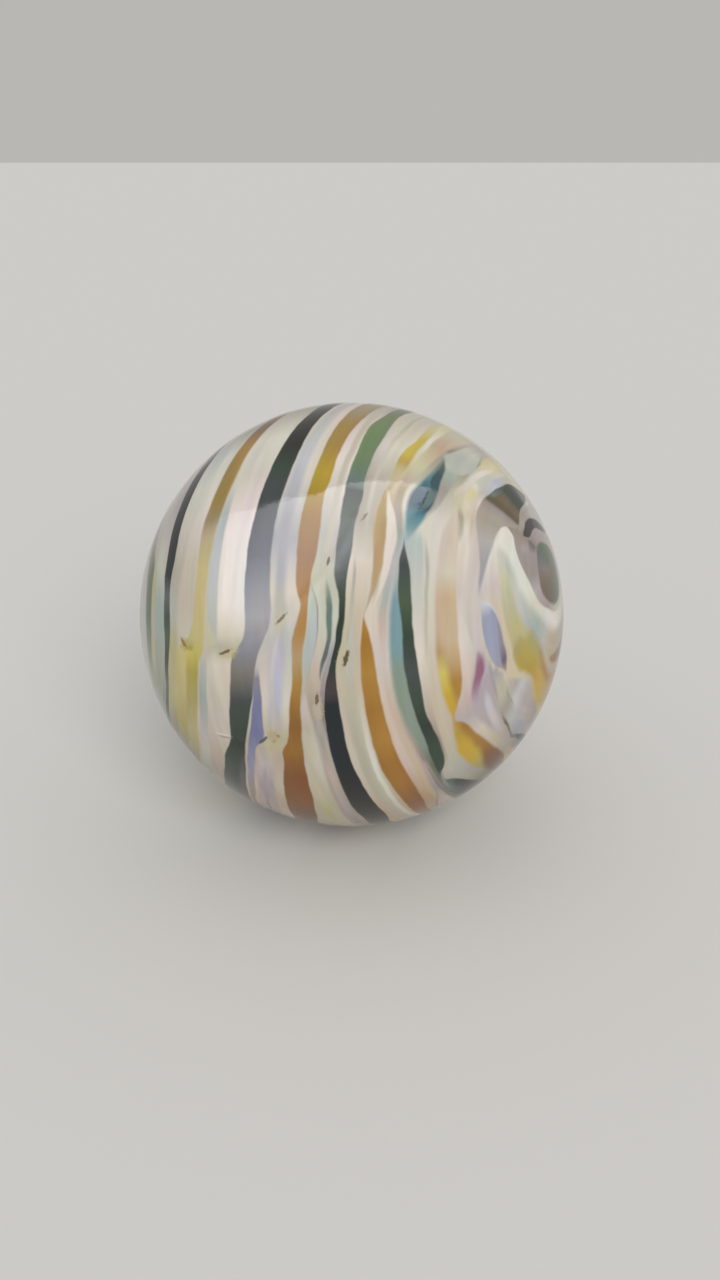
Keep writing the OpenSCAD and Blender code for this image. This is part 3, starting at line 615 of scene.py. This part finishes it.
     {-100: 81, -75: 79.4, -60: 78.4, -45: 77.4, -32: 76.8, -22: 76.6},
     {-100: 82.4, -75: 80.8, -60: 79.8, -45: 78.7, -32: 78, -22: 77.4}),
    ("oliveWash", 1, {-179: ("cream", 0), -140: "lichen", -100: "olive", -75: "blush", -55: "lichen",
      -38: "cream", -26: "oat", -18: ("ivory", 0)},
     {-179: 76, -130: 80, -100: 84, -75: 82.4, -60: 80.8, -45: 79.6, -34: 78.8, -24: 78.6, -18: 78.8}),
    ("oliveLine", 0.7, {-100: "olive", -75: "khaki", -60: "khaki", -48: "primrose", -36: "primrose",
      -31: ("straw", 0)},
     {-100: 88, -75: 86.4, -66: 84.6, -58: 83, -50: 82.1, -40: 81.1, -32: 80.6},
     {-100: 89.6, -75: 88.4, -66: 86.3, -58: 84.6, -50: 83.6, -40: 82.5, -32: 81.3}),
    ("roseSpot", 0.8, {-30: ("rose", 0), -26: "blush", -20: "petal", -16: ("petal", 0)},
     {-30: 79.4, -26: 78.9, -20: 78.8, -16: 79.2}, {-30: 79.6, -26: 80.9, -20: 80.5, -16: 79.4}),
    ("iceLens", 0.5, {-24: ("celadon", 0), -17: "bone", -8: "ice", 0: "ice", 9: "celadon"},
     {-24: 80.4, -18: 79.4, -15: 78.3, -10: 76.7, -5: 75.3, 0: 74.8, 3: 75, 6: 76, 9: 76.8},
     {-24: 80.6, -18: 80.6, -15: 80, -10: 79, -5: 77.7, 0: 76.9, 4: 76.6, 9: 76.9}),
    ("lensEdge", 0.3, {-16: ("lagoon", 0), -10: "ice", 0: "ash", 6: "stone", 9: ("sage", 0)},
     {-16: 78.4, -10: 76.5, -5: 75.1, 0: 74.6, 3: 74.8, 6: 75.8, 9: 76.6},
     {-16: 78.6, -10: 76.9, -5: 75.5, 0: 75, 3: 75.2, 6: 76.1, 9: 76.8}),
    ("thirdAmber", 0.6, {-180: "caramel", -130: "rust", -95: "chestnut", -75: "chestnut", -62: "chestnut",
      -54: "rust", -42: "rust", -37: "copper", -33: "caramel", -26: "copper", -16: "amber", -9: "tan",
      -3: "amber", 6: "caramel", 14: "copper", 24: "caramel", 36: "mustard", 46: "honey", 56: "honey",
      66: "hazel", 90: "honey", 130: "caramel"},
     {-180: 79, -140: 84, -100: 92, -80: 93, -70: 91.4, -62: 88.6, -55: 86.5, -50: 85.2, -45: 84.3,
      -40: 83.6, -35: 82.6, -30: 81.9, -23: 80.8, -15: 79.5, -8: 78.6, -5: 77.9, 0: 77.2, 5: 76.9, 10: 76.5,
      15: 75.8, 20: 75.8, 30: 76.2, 35: 75.8, 45: 76, 55: 75.6, 65: 75, 90: 75.4, 130: 77}),
    ("amberFoot", 0.6, {-180: "ivory", -110: "oat", -70: "shell", -58: "peach", -46: "shell", -37: "blush",
      -33: "oat", -30: "lichen", -20: "ivory", -5: "fog", 6: "cream", 18: "pewter", 35: "ivory",
      60: "ivory", 100: "ivory"},
     {-180: 86, -140: 92, -100: 100, -80: 101, -67: 97, -62: 95.7, -55: 94, -50: 92.6, -45: 91, -40: 89.4,
      -37: 88.4, -33: 87.5, -31: 85.9, -27: 84.5, -20: 82.9, -15: 81.8, -10: 81.2, -5: 80.7, 0: 79.4,
      3: 78.7, 5: 79.3, 8: 79.9, 12: 80.2, 20: 80.6, 30: 80.2, 45: 80, 65: 80, 90: 80.6, 130: 82.6}),
    ("leftMauve", 1.4, {-110: ("mauve", 0), -80: "mauve", -58: "rose", -46: "thistle", -38: "petal",
      -33: "oat"},
     {-110: 106, -80: 105, -65: 100, -55: 96.6, -46: 94, -40: 92.4, -36: 91.4, -33: 91},
     {-110: 112, -80: 112, -65: 106.5, -55: 102.4, -46: 98.6, -40: 96.4, -36: 95, -33: 93.8}),
    ("leftMauveLine", 0.7, {-80: ("mauve", 0), -60: "taupe", -48: "thistle", -37: ("mauve", 0)},
     {-80: 108, -62: 101.6, -52: 98.2, -44: 95.4, -37: 93},
     {-80: 109.4, -62: 102.8, -52: 99.4, -44: 96.4, -37: 93.6}),
    ("blueMist", 1.7, {-33: ("khaki", 0), -29: "lichen", -20: "lilac", -10: "lilac", 0: "bone",
      10: "pewter", 22: "pewter", 40: "mist", 65: "fog", 120: ("fog", 0)},
     {-34: 91, -31: 88.2, -28: 86.6, -20: 84.8, -14: 83.8, -8: 82.8, -4: 82.4, 0: 82.2, 15: 82.4, 30: 82.3,
      65: 82, 90: 82.4, 120: 85},
     {-34: 91.2, -31: 90.6, -26: 89.4, -20: 88.2, -14: 87.2, -8: 86.2, -4: 85.2, 0: 84.8, 15: 85, 30: 85.6,
      50: 85.4, 65: 84.8, 90: 84.6, 120: 86}),
    ("mistLine", 1, {-30: ("cream", 0), -22: "fog", -12: "pearl", 4: ("pearl", 0)},
     {-30: 88.6, -22: 87, -14: 86, -8: 84.8, -3: 83.4, 4: 83},
     {-30: 89.4, -22: 87.9, -14: 86.9, -8: 85.6, -3: 84.1, 4: 83.4}),
    ("violetEdge", 0.7, {-90: "slate", -70: "slate", -58: "taupe", -48: "mauve", -40: "iris", -28: "violet",
      -20: "violet", -14: "flint", -10: ("lilac", 0)},
     {-90: 112, -70: 108, -60: 105.4, -50: 101.2, -45: 99.4, -40: 97.4, -36: 95.8, -33: 94.6, -31: 92.8,
      -29: 91.4, -25: 90.7, -20: 89.9, -15: 89.5, -10: 89},
     {-90: 113, -70: 110, -60: 106.6, -50: 103.2, -45: 101.4, -40: 99.4, -35: 97.6, -30: 95.6, -25: 93.8,
      -20: 92.4, -15: 91.4, -10: 89.6}),
    # its greys from round -13 to 14 are partly a painted reflection of the bright card on the dark glass
    ("fourthDark", 0.6, {-180: "bottle", -120: "pine", -80: "pine", -60: "soot", -50: "bottle", -40: "pine",
      -32: "bottle", -27: "pine", -20: "iron", -13: "smoke", -8: "flint", 0: "pewter", 7: "flint",
      14: "navy", 29: "iron", 33: "iron", 38: "pine", 46: "soot", 54: "soot", 75: "soot", 120: "bottle"},
     {-180: 90, -140: 98, -110: 108, -90: 113, -75: 112, -60: 107.4, -50: 104, -45: 102, -40: 100,
      -35: 98.4, -30: 96.4, -25: 94.4, -20: 92.6, -15: 91.2, -8: 89, -5: 87.6, -2: 86.2, 2: 85.6, 6: 86,
      15: 86.4, 24: 86.5, 35: 86, 45: 85.8, 55: 85.9, 65: 85.6, 90: 85.6, 130: 87}),
    ("darkBloom", 1.6, {-90: ("steel", 0), -70: "slate", -56: ("iron", 0.7), -44: ("dusk", 0.5),
      -34: ("dusk", 0)},
     {-90: 112.6, -70: 110.6, -60: 107.4, -50: 104, -42: 101, -34: 98},
     {-90: 115, -70: 113, -60: 110, -50: 106, -42: 102.6, -34: 98.8}),
    ("darkFoot", 0.6, {-180: "ivory", -110: "oat", -70: "bone", -50: "stone", -38: "oat", -30: "cream",
      -20: "cream", -11: "ivory", -7: "bone", -4: "ivory", 2: "snow", 20: "snow", 36: "ivory", 50: "chalk",
      70: "stone", 120: "ivory"},
     {-180: 97, -140: 106, -110: 116, -90: 122, -75: 121.6, -60: 116.4, -55: 113.8, -50: 111.6, -45: 109,
      -40: 106.6, -36: 104.6, -33: 102.4, -30: 101, -25: 100, -20: 98.6, -15: 97.4, -10: 96.5, -8: 95.4,
      -6: 93.6, -4: 92.5, 0: 92.2, 10: 92.5, 20: 92.4, 25: 92, 35: 91.5, 45: 91, 55: 90.4, 65: 90, 90: 90.6,
      130: 93}),
    ("fogBelow", 1, {-12: ("fog", 0), -6: "primrose", 8: "cream", 18: "shell", 26: "pearl",
      34: ("pearl", 0)},
     {-10: 103, -4: 100.6, 8: 100.4, 20: 101, 30: 100}),
    ("blueHair", 0.9, {-5: "fog", 6: "mist", 16: "mist", 24: "ice", 34: ("fog", 0)},
     {-5: 100.2, 0: 99.9, 16: 99.9, 24: 99.6, 34: 99.2},
     {-5: 101, 0: 102.6, 8: 102.8, 16: 102.6, 24: 101.8, 34: 100.6}),
    ("celadonStrip", 0.8, {-90: ("lagoon", 0), -70: "lagoon", -50: "sage", -38: "pearl", -28: "fog",
      -20: "celadon", -12: "fog", -7: "cream"},
     {-90: 128, -75: 127, -60: 121, -50: 116, -45: 113.6, -38: 111, -30: 108.4, -25: 106.8, -20: 105.6,
      -15: 104.8, -11: 104, -7: 103.4},
     {-90: 131, -75: 130, -60: 124.4, -50: 119.6, -45: 117, -38: 114.2, -30: 111.4, -25: 109.7, -20: 108.3,
      -15: 107.2, -11: 106.2, -7: 104}),
    ("fourthAmber", 1.2, {-180: "honey", -120: "olive", -80: "olive", -60: "taupe", -50: "umber",
      -40: "olive", -32: "khaki", -22: "olive", -14: "oliveGold", -9: "lemon", -5: "straw", 2: "straw",
      11: "straw", 16: "khaki", 20: "biscuit", 24: "hazel", 30: "honey", 38: "honey", 48: "amber",
      58: "chestnut", 68: "chestnut", 110: "caramel"},
     {-180: 108, -140: 118, -110: 130, -90: 135, -75: 133, -62: 127, -55: 123.6, -50: 121, -45: 118.4,
      -40: 116, -35: 114, -30: 112.2, -25: 110.4, -20: 108.8, -15: 107.6, -11: 106.6, -8: 105, -5: 104.2,
      0: 103.8, 8: 103.5, 15: 103, 22: 102.6, 28: 101.8, 35: 101, 45: 100.4, 55: 99.5, 65: 98.6, 90: 98.4,
      130: 102}),
    ("fourthStraw", 1.6, {-90: ("khaki", 0), -65: "khaki", -45: "reed", -34: "oliveGold", -20: "straw",
      -11: "straw", -8.4: "straw", -7: ("lemon", 0)},
     {-90: 138, -75: 136, -60: 130, -50: 125.6, -40: 120.4, -30: 116.4, -20: 113.2, -13: 111.6, -8: 110.4}),
    ("amberUnder", 1, {-180: "shell", -100: "bone", -60: "bone", -40: "bark", -25: "khaki", -12: "lichen",
      -5: "cream", 2: "shell", 14: "cream", 19: "ivory", 28: "chalk", 36: "chalk", 46: "chalk", 60: "stone",
      90: "shell"},
     {-180: 113, -140: 123, -110: 137, -90: 142, -75: 141, -60: 135.4, -50: 131, -45: 128, -40: 125.4,
      -35: 123, -30: 121, -25: 119.4, -20: 118, -15: 116.8, -11: 115.6, -8: 113.6, -5: 109.6, -2: 108,
      0: 107.5, 8: 107, 15: 107, 22: 107.2, 28: 106.5, 35: 105.8, 45: 104.8, 55: 103.8, 65: 102.8,
      90: 102.6, 130: 106}),
    ("underFog", 2.4, {-20: ("khaki", 0), -8: "khaki", 0: "fog", 12: "bone", 24: "ivory", 36: "swan",
      50: "mist", 62: ("dove", 0)},
     {-14: 116.6, -6: 113.8, 0: 113.6, 10: 113, 22: 111, 36: 109.6, 50: 108}),
    ("fifthDark", 0.6, {-180: "pine", -110: "pine", -60: "reed", -42: "soot", -34: "ink", -28: "bottle",
      -20: "reed", -12: "pine", -5: "forest", 0: "pine", 6: "slate", 11: "ink", 20: "ink", 28: "ink",
      34: "ink", 38: "soot", 44: "soot", 52: "soot", 64: "soot", 110: "bottle"},
     {-180: 120, -140: 131, -110: 143, -90: 147, -75: 146, -60: 140, -45: 132.6, -38: 129.2, -33: 127,
      -30: 125.6, -25: 123.2, -20: 121.2, -15: 119.8, -10: 118.4, -8: 117.8, -4: 117.2, 0: 117, 8: 117.2,
      12: 116.8, 15: 116.4, 25: 116.3, 35: 115.8, 45: 115.2, 55: 114.3, 65: 113.2, 90: 113, 130: 116}),
    ("fifthFoot", 0.6, {-180: "ivory", -60: "dove", -25: "lagoon", -12: "dove", -5: "celadon", 2: "celadon",
      12: "pearl", 22: "petal", 36: "dove", 50: "dove", 90: "cream"},
     {-180: 123, -140: 134, -110: 146, -90: 149.6, -75: 148.4, -60: 142.6, -45: 134.8, -38: 131.2, -33: 129,
      -30: 127.4, -25: 124.8, -20: 122.8, -15: 121.6, -10: 120.4, -8: 120.1, -4: 119.9, 0: 119.9, 8: 120,
      12: 120.4, 15: 120.2, 25: 120.6, 35: 120.3, 45: 119.6, 55: 118.6, 65: 117.4, 90: 117, 130: 119.6}),
    ("farSea", 1.2, {-180: "lagoon", -90: "fog", -20: "sage", -4: "celadon", 6: "celadon", 16: "pearl",
      34: "dove", 50: "stone", 110: "ice"},
     {-180: 126.4, -140: 137, -110: 148.4, -90: 151.6, -60: 144.8, -40: 134, -30: 129.4, -20: 124.8,
      -10: 122.6, -5: 122.2, 5: 122.1, 12: 122.5, 20: 123.6, 30: 123.6, 50: 122, 90: 120, 130: 123}),
    ("farBone", 1.6, {-180: "oat", -60: "bone", -22: "sage", -12: "lichen", 0: "lichen", 10: "khaki",
      22: "bone", 40: "dove", 90: "cream"},
     {-180: 130, -110: 151, -90: 153.6, -60: 147, -30: 131.6, -20: 127.6, -10: 126, 0: 125.2, 10: 125.2,
      20: 126.4, 40: 126, 90: 124, 130: 127}),
    ("farMoss", 1.6, {-180: "moss", -90: "sage", -20: "sage", 0: "fern", 14: "forest", 26: "smoke",
      50: "ash", 90: "sage"},
     {-180: 133, -110: 153.6, -90: 156, -60: 149.6, -30: 134.4, -20: 131, -12: 129.2, 0: 127.8, 8: 127.8,
      15: 127.8, 22: 129.6, 30: 131, 50: 131, 90: 129, 130: 131}),
    ("farFog", 2, {-180: "pearl", -60: "fog", 0: "fog", 30: "dove", 90: "pearl"},
     {-180: 138, -110: 156.6, -90: 158.6, -60: 152.6, -30: 138, -15: 133.6, 0: 132.4, 10: 132.6, 20: 134,
      30: 135.6, 60: 136, 90: 134, 130: 136}),
    ("farTeal", 1, {-180: "sea", -60: "lagoon", 0: "lagoon", 60: "sea", 130: "teal"},
     {-180: 144, -110: 160, -80: 160, -40: 146, 0: 139, 40: 141, 90: 140, 140: 141}),
    ("farCream", 1, {-180: "ivory", -60: "cream", 0: "cream", 90: "ivory"},
     {-180: 148, -110: 162.6, -80: 162.6, -40: 150, 0: 143.6, 40: 144.6, 90: 143.6, 140: 145}),
    ("farAmber", 1, {-180: "amber", -60: "caramel", 0: "honey", 90: "amber"},
     {-180: 154, -110: 165.6, -80: 165.4, -40: 155.6, 0: 151, 40: 151, 90: 150, 140: 151.4}),
    ("farBlush", 1.2, {-180: "blush", -40: "shell", 60: "petal"},
     {-180: 159, -110: 168, -80: 168, -40: 160.6, 0: 157, 40: 156.6, 90: 156, 140: 157}),
    ("farPine", 1, {-180: "fern", 0: "pine", 90: "forest"},
     {-180: 165, -110: 171, -80: 171, -40: 166, 0: 163.6, 60: 162.6, 130: 163}),
    ("farTip", 1.6, {-180: "straw", 0: "cream", 90: "ochre"},
     {-180: 170, -110: 174, -80: 174, -40: 171, 0: 169, 60: 168.6, 130: 169}),
    ("backChalk", 1.6, {-180: "ivory", -145: ("ivory", 0), 98: ("ivory", 0), 120: "ivory"},
     {-180: 15, -145: 15.6, 95: 18, 130: 16}, {-180: 17.8, -145: 17, 95: 19, 130: 19.2}),
    ("backSage", 1.4, {-180: "sage", -145: ("khaki", 0), 102: ("sage", 0), 135: "celadon"},
     {-180: 23, -140: 25, 100: 24.4, 130: 23.4}, {-180: 26, -140: 26.4, 100: 25.2, 130: 26.6}),
    ("backPeach", 1, {-180: "apricot", -145: ("peach", 0), 100: ("peach", 0), 122: "apricot"},
     {-180: 31, -140: 32.4, 98: 29.4, 130: 30.2}, {-180: 33, -140: 33.2, 98: 30, 130: 31.8}),
    ("backTeal", 1, {-180: "teal", -145: "sea", -115: ("sea", 0), 84: ("ice", 0), 108: "sea"},
     {-180: 37.4, -150: 39, -115: 41, 82: 34, 110: 35},
     {-180: 39.6, -150: 40.4, -115: 41.4, 82: 34.4, 110: 36.6}),
    ("backLilac", 1.2, {-180: "lilac", -140: ("lilac", 0), 80: ("iris", 0), 105: "iris"},
     {-180: 41, -140: 42.4, 78: 37.4, 120: 39.4}, {-180: 42.4, -140: 43.2, 78: 37.8, 120: 40.6}),
    ("backAmber", 0.9, {-180: "amber", -155: "copper", -130: ("tan", 0), 92: ("tan", 0), 116: "tan",
      145: "amber"},
     {-180: 43.6, -130: 44.2, 88: 41, 120: 42, 150: 42.8},
     {-180: 46.4, -130: 46.4, 88: 41.4, 120: 44, 150: 45.4}),
    ("backPine", 0.8, {-180: "pine", -150: "pine", -125: ("pine", 0), 100: ("moss", 0), 128: "forest"},
     {-180: 50, -130: 49.6, 98: 47.6, 130: 48.6}, {-180: 52.6, -130: 53.6, 98: 48, 130: 49.8}),
    ("backOlive", 1.2, {-180: "oliveGold", -145: ("olive", 0), 90: ("khaki", 0), 118: "olive"},
     {-180: 56.6, -140: 57.4, 86: 54, 130: 55.4}, {-180: 58.2, -140: 58, 86: 54.4, 130: 56.8}),
    ("backCopper", 0.7, {-180: "caramel", -140: "caramel", -120: ("caramel", 0), 98: ("tan", 0),
      130: "apricot", 155: "caramel"},
     {-180: 62, -130: 63.4, 95: 60.6, 140: 61}, {-180: 64, -130: 65.6, 95: 61, 140: 62.8}),
    ("backIce", 1.2, {-180: "celadon", -115: "lagoon", -88: ("lagoon", 0), 94: ("ice", 0), 120: "ice"},
     {-180: 102, -140: 112, -110: 124, -86: 129, 92: 94.6, 130: 97.4},
     {-180: 104, -140: 114.4, -110: 127, -86: 131, 92: 95, 130: 99}),
    ("backRose", 1.2, {-180: "rose", -120: "mauve", -92: ("mauve", 0), 90: ("thistle", 0), 115: "thistle"},
     {-180: 115.6, -140: 126, -110: 139.4, -90: 144, 88: 105.6, 130: 109},
     {-180: 117, -140: 127.6, -110: 140.6, -90: 144.6, 88: 106, 130: 110.2}),
]

bandFade = 1.5    # degrees over which a band runs out past its first and last points

# Scorched marks along the creases, and on one crease a painted highlight with painted shade beside it:
# (round, down) middle, half length, half width, turn from the ribbons' line, glass and cover
scorchesAndGlint = [
    ((-7, 110.4), 2.6, 1.7, -80, "olive", 0.5), ((-6.6, 111.5), 1.7, 0.6, 41, "copper", 0.75),
    ((-7.7, 109.4), 1.0, 0.7, -86, "oliveGold", 0.8), ((-8.2, 97.2), 3.2, 1.3, -72, "khaki", 0.5),
    ((-8.1, 98), 2.1, 0.42, -71, "bark", 0.95), ((-9, 95.8), 0.9, 0.6, -30, "olive", 0.6),
    ((-1, 82.9), 3.0, 1.4, -44, "lichen", 0.5), ((-0.4, 83.3), 2.0, 0.38, -44, "bark", 0.95),
    ((13, 73), 1.8, 0.9, -9, "fog", 0.5), ((13, 73), 1.1, 0.34, -9, "bark", 0.9),
    ((25.3, 66.3), 1.4, 0.38, -24, "bark", 0.85), ((-30.2, 91.8), 2.3, 0.42, -50, "iron", 0.85),
    ((-28.7, 88.9), 1.7, 1.5, -88, "biscuit", 0.85), ((-28.9, 87.6), 0.6, 0.5, 0, "hazel", 0.9),
    ((-30.4, 89), 0.6, 0.4, -60, "hazel", 0.7), ((-32.5, 90), 1.6, 0.9, -70, "lichen", 0.7),
    # painted shade (ash) and a painted highlight (snow) beside it: a glint along the crease, not a scorch
    ((-31, 103.2), 2.5, 0.36, -87, "ash", 0.6), ((-30.3, 103.5), 2.8, 0.3, -89, "snow", 0.6),
    ((-22, 76.6), 3.4, 1.3, -12, "oat", 0.6), ((-19.5, 76.5), 1.6, 0.5, -12, "bark", 0.95),
    ((-9.4, 69.2), 3.4, 1.5, -20, "lichen", 0.6), ((-10, 68.9), 2.3, 0.62, -19, "umber", 1),
]

surface = {
    "wobble": 0.35,              # degrees the ribbons' lines wander
    "wobbleScale": 9,            # wanders across one ball radius
    "streak": 0.085,             # share by which fine streaks change the shade
    "streakScale": 34,           # streaks from one end to the other
    "opal": 0.06,                # share by which broader streaks change the tint
    "opalScale": 17,
    "streakSpan": (0.25, 0.75),  # noise values between which the streaks do so
    "scorchAndGlintEdge": (0.55, 1.2),   # where a mark fades, scorch and painted highlight alike, in its half sizes
    "ragged": 1.3,               # unevenness of the marks' edges, scorches and painted highlight alike
    "raggedScale": 80,
    "roughness": 0.07,
    "grain": 0.00001,            # height of the finest unevenness
    "grainScale": 26,
}


def soften(tree, value, low, high):
    # smoothstep of value from 0 at low to 1 at high
    limits = [(0, value), (1, low), (2, high)]
    return addNode(tree, "MapRange", limits, interpolation_type="SMOOTHSTEP", clamp=False).outputs[0]


def noise(tree, place, scale, detail):
    # an even noise from 0 to 1 and, second, one of its own for each channel
    links = [("Vector", place), ("Scale", scale), ("Detail", detail)]
    return addNode(tree, "TexNoise", links).outputs


def mixOver(tree, share, below, above):
    # below x (1 - share) + above x share
    return addNode(tree, "Mix", [(0, share), (6, below), (7, above)], data_type="RGBA").outputs[2]


def closed(stops):
    # what stands at round -180 closes the ring at 180 as well
    stops = list(stops.items())
    return stops + [(180, stops[0][1])] if stops[0][0] == -180 else stops


def lineCurve(tree, around, line):
    # down / 180 of the line as a curve over round / 360 + 0.5
    node = addNode(tree, "FloatCurve", [(1, around)])
    node.mapping.extend = "HORIZONTAL"
    points = node.mapping.curves[0].points
    for _ in line[2:]:
        points.new(0.5, 0.5)
    for point, (r, d) in zip(points, line):
        point.location = (r / 360 + 0.5, d / 180)
        point.handle_type = "AUTO_CLAMPED"
    node.mapping.update()
    return node.outputs[0]


def tintRamp(tree, around, tints, first=-180, last=180):
    # glass and cover along the ribbon, faded out just past first and last where a band ends there
    stops = [(r, *tint) if isinstance(tint, tuple) else (r, tint, 1) for r, tint in closed(tints)]
    if first > -180 and stops[0][2]:
        stops.insert(0, (min(stops[0][0], first) - bandFade, stops[0][1], 0))
    if last < 180 and stops[-1][2]:
        stops.append((max(stops[-1][0], last) + bandFade, stops[-1][1], 0))
    ramp = addNode(tree, "ValToRGB", [(0, around)])
    elements = ramp.color_ramp.elements
    elements.remove(elements[1])
    for k, (r, name, cover) in enumerate(stops):
        stop = elements[0] if k == 0 else elements.new(1.0)
        stop.position = r / 360 + 0.5
        stop.color = (*linear(glass[name])[:3], cover)
    return ramp.outputs


def ribbonGroup(name, soft, tints, top, foot=None):
    # mix(below, tint, cover x edge(down - top) x edge(foot - down))
    tree = bpy.data.node_groups.new(name, "ShaderNodeTree")
    for label, kind in (("Round", "Float"), ("Down", "Float"), ("Below", "Color")):
        tree.interface.new_socket(label, in_out="INPUT", socket_type="NodeSocket" + kind)
    tree.interface.new_socket("Colour", in_out="OUTPUT", socket_type="NodeSocketColor")
    given = tree.nodes.new("NodeGroupInput").outputs
    out = tree.nodes.new("NodeGroupOutput")
    around, down = given["Round"], given["Down"]
    half = soft / 360
    top = closed(top)
    past = calc(tree, "SUBTRACT", down, lineCurve(tree, around, top))
    share = soften(tree, past, -half, half)
    if foot:
        tint, cover = tintRamp(tree, around, tints, top[0][0], top[-1][0])
        left = calc(tree, "SUBTRACT", lineCurve(tree, around, closed(foot)), down)
        share = calc(tree, "MULTIPLY", share, soften(tree, left, -half, half))
    else:
        tint, cover = tintRamp(tree, around, tints)
    share = calc(tree, "MULTIPLY", share, cover)
    tree.links.new(mixOver(tree, share, given["Below"], tint), out.inputs[0])
    return tree


# lays each scorch, and the painted highlight and painted shade along one crease
def layScorchOrGlint(tree, spot, ragged, mark, below, s):
    # an oval on the ball: cover x (1 - edge(length((spot - middle) turned / half sizes) + ragged))
    (r, d), half, wide, turn, name, cover = mark
    r, d, turn = radians(r), radians(d), radians(turn)
    out = Vector((np.sin(d) * np.cos(r), np.sin(d) * np.sin(r), np.cos(d)))
    east = Vector((-np.sin(r), np.cos(r), 0))
    south = Vector((np.cos(d) * np.cos(r), np.cos(d) * np.sin(r), -np.sin(d)))
    along = np.cos(turn) * east + np.sin(turn) * south
    turned = Matrix((along, out.cross(along), out)).transposed().to_euler()
    sizes = (radians(half), radians(wide), 1)
    links = [(0, spot), (1, out), (2, turned), (3, sizes)]
    place = addNode(tree, "Mapping", links, vector_type="TEXTURE").outputs[0]
    length = calc(tree, "ADD", calcVector(tree, "LENGTH", place), ragged)
    inner, outer = s["scorchAndGlintEdge"]
    share = calc(tree, "MULTIPLY", soften(tree, length, outer, inner), cover)
    return mixOver(tree, share, below, linear(glass[name]))


def swirlChart(tree, m):
    # spot = unit direction in the swirl's frame, drift = 1 - edge(arccos z), q = (x, y) - eye x drift,
    # round = arctan2(q.y, q.x), down = arctan2(length q, z), both as shares of their full range
    coords = addNode(tree, "TexCoord").outputs["Object"]
    unit = calcVector(tree, "NORMALIZE", calcVector(tree, "SUBTRACT", coords, ballCentre))
    axes = [calcVector(tree, "DOT_PRODUCT", unit, row) for row in swirlFrame(m)]
    spot = addNode(tree, "CombineXYZ", enumerate(axes)).outputs[0]
    start, end = m["eyeDrift"]
    drift = soften(tree, calc(tree, "ARCCOSINE", axes[2]), radians(end), radians(start))
    q = calcVector(tree, "SUBTRACT", spot, calcVector(tree, "MULTIPLY", drift, m["eye"]))
    flat = calcVector(tree, "MULTIPLY", q, (1, 1, 0))
    x, y, _ = addNode(tree, "SeparateXYZ", [(0, flat)]).outputs
    around = calc(tree, "MULTIPLY_ADD", calc(tree, "ARCTAN2", y, x), 0.5 / pi, 0.5)
    far = calcVector(tree, "LENGTH", flat)
    down = calc(tree, "MULTIPLY", calc(tree, "ARCTAN2", far, axes[2]), 1 / pi)
    return unit, spot, around, down


def wander(tree, unit, down, s):
    # down + wobble x (2 noise - 1)
    centred = calc(tree, "SUBTRACT", noise(tree, unit, s["wobbleScale"], 2)[0], 0.5)
    return calc(tree, "MULTIPLY_ADD", centred, 2 * s["wobble"] / 180, down)


def drawnNoise(tree, spot, down, scale):
    # noise of (x, y, down x scale), drawn out along the ribbons
    x, y, _ = addNode(tree, "SeparateXYZ", [(0, spot)]).outputs
    drawn = calc(tree, "MULTIPLY", down, scale)
    place = addNode(tree, "CombineXYZ", enumerate((x, y, drawn))).outputs[0]
    return noise(tree, place, 2, 3)


def streaks(tree, spot, down, colour, s):
    # colour x (1 + streak x (2 noise - 1)) x (1 + opal x (2 noise of its own for each channel - 1)),
    # each noise taken from 0 to 1 over the streaks' span of it
    low, high = s["streakSpan"]
    shade = drawnNoise(tree, spot, down, s["streakScale"])[0]
    limits = [shade, low, high, 1 - s["streak"], 1 + s["streak"]]
    shade = addNode(tree, "MapRange", enumerate(limits)).outputs[0]
    opal = drawnNoise(tree, spot, down, s["opalScale"])[1]
    limits = [opal] + [(v,) * 3 for v in (low, high, 1 - s["opal"], 1 + s["opal"])]
    opal = addNode(tree, "MapRange", enumerate(limits, 6), data_type="FLOAT_VECTOR").outputs[1]
    return calcVector(tree, "MULTIPLY", calcVector(tree, "MULTIPLY", colour, shade), opal)


def swirledGlass(m, s):
    # every ribbon laid over the one before, then streaks, scorched marks and a painted crease highlight
    # with painted shade beside it, under one smooth gloss
    paint, tree = newPaint("swirledGlass")
    unit, spot, around, down = swirlChart(tree, m)
    down = wander(tree, unit, down, s)
    colour = tintRamp(tree, around, eyeTints)[0]
    for ribbon in ribbons:
        lay = tree.nodes.new("ShaderNodeGroup")
        lay.node_tree = ribbonGroup(*ribbon)
        for socket, value in zip(lay.inputs, (around, down, colour)):
            tree.links.new(value, socket)
        colour = lay.outputs[0]
    colour = streaks(tree, spot, down, colour, s)
    ragged = noise(tree, unit, s["raggedScale"], 2)[0]
    ragged = calc(tree, "MULTIPLY_ADD", ragged, s["ragged"], -0.5 * s["ragged"])
    for mark in scorchesAndGlint:
        colour = layScorchOrGlint(tree, spot, ragged, mark, colour, s)
    grain = noise(tree, unit, s["grainScale"], 3)[0]
    bump = addNode(tree, "Bump", [("Height", grain), ("Distance", s["grain"])]).outputs[0]
    shader = tree.nodes["Principled BSDF"]
    shader.inputs["Roughness"].default_value = s["roughness"]
    tree.links.new(colour, shader.inputs["Base Color"])
    tree.links.new(bump, shader.inputs["Normal"])
    return paint


placeCamera(camera)
makeFloor(floorLook)
lightWorld(lamps)
hangKeyLight(lamps)
hangCard(card)
print("stage set")

paint = swirledGlass(marble, surface)
print("glass mixed:", len(ribbons), "ribbons,", len(scorchesAndGlint), "scorchesAndGlint")
ball = makeBall(marble, paint)
print("marble made:", len(ball.data.polygons), "faces")
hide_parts("marble")
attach(ball, "root")
bpy.context.view_layer.update()
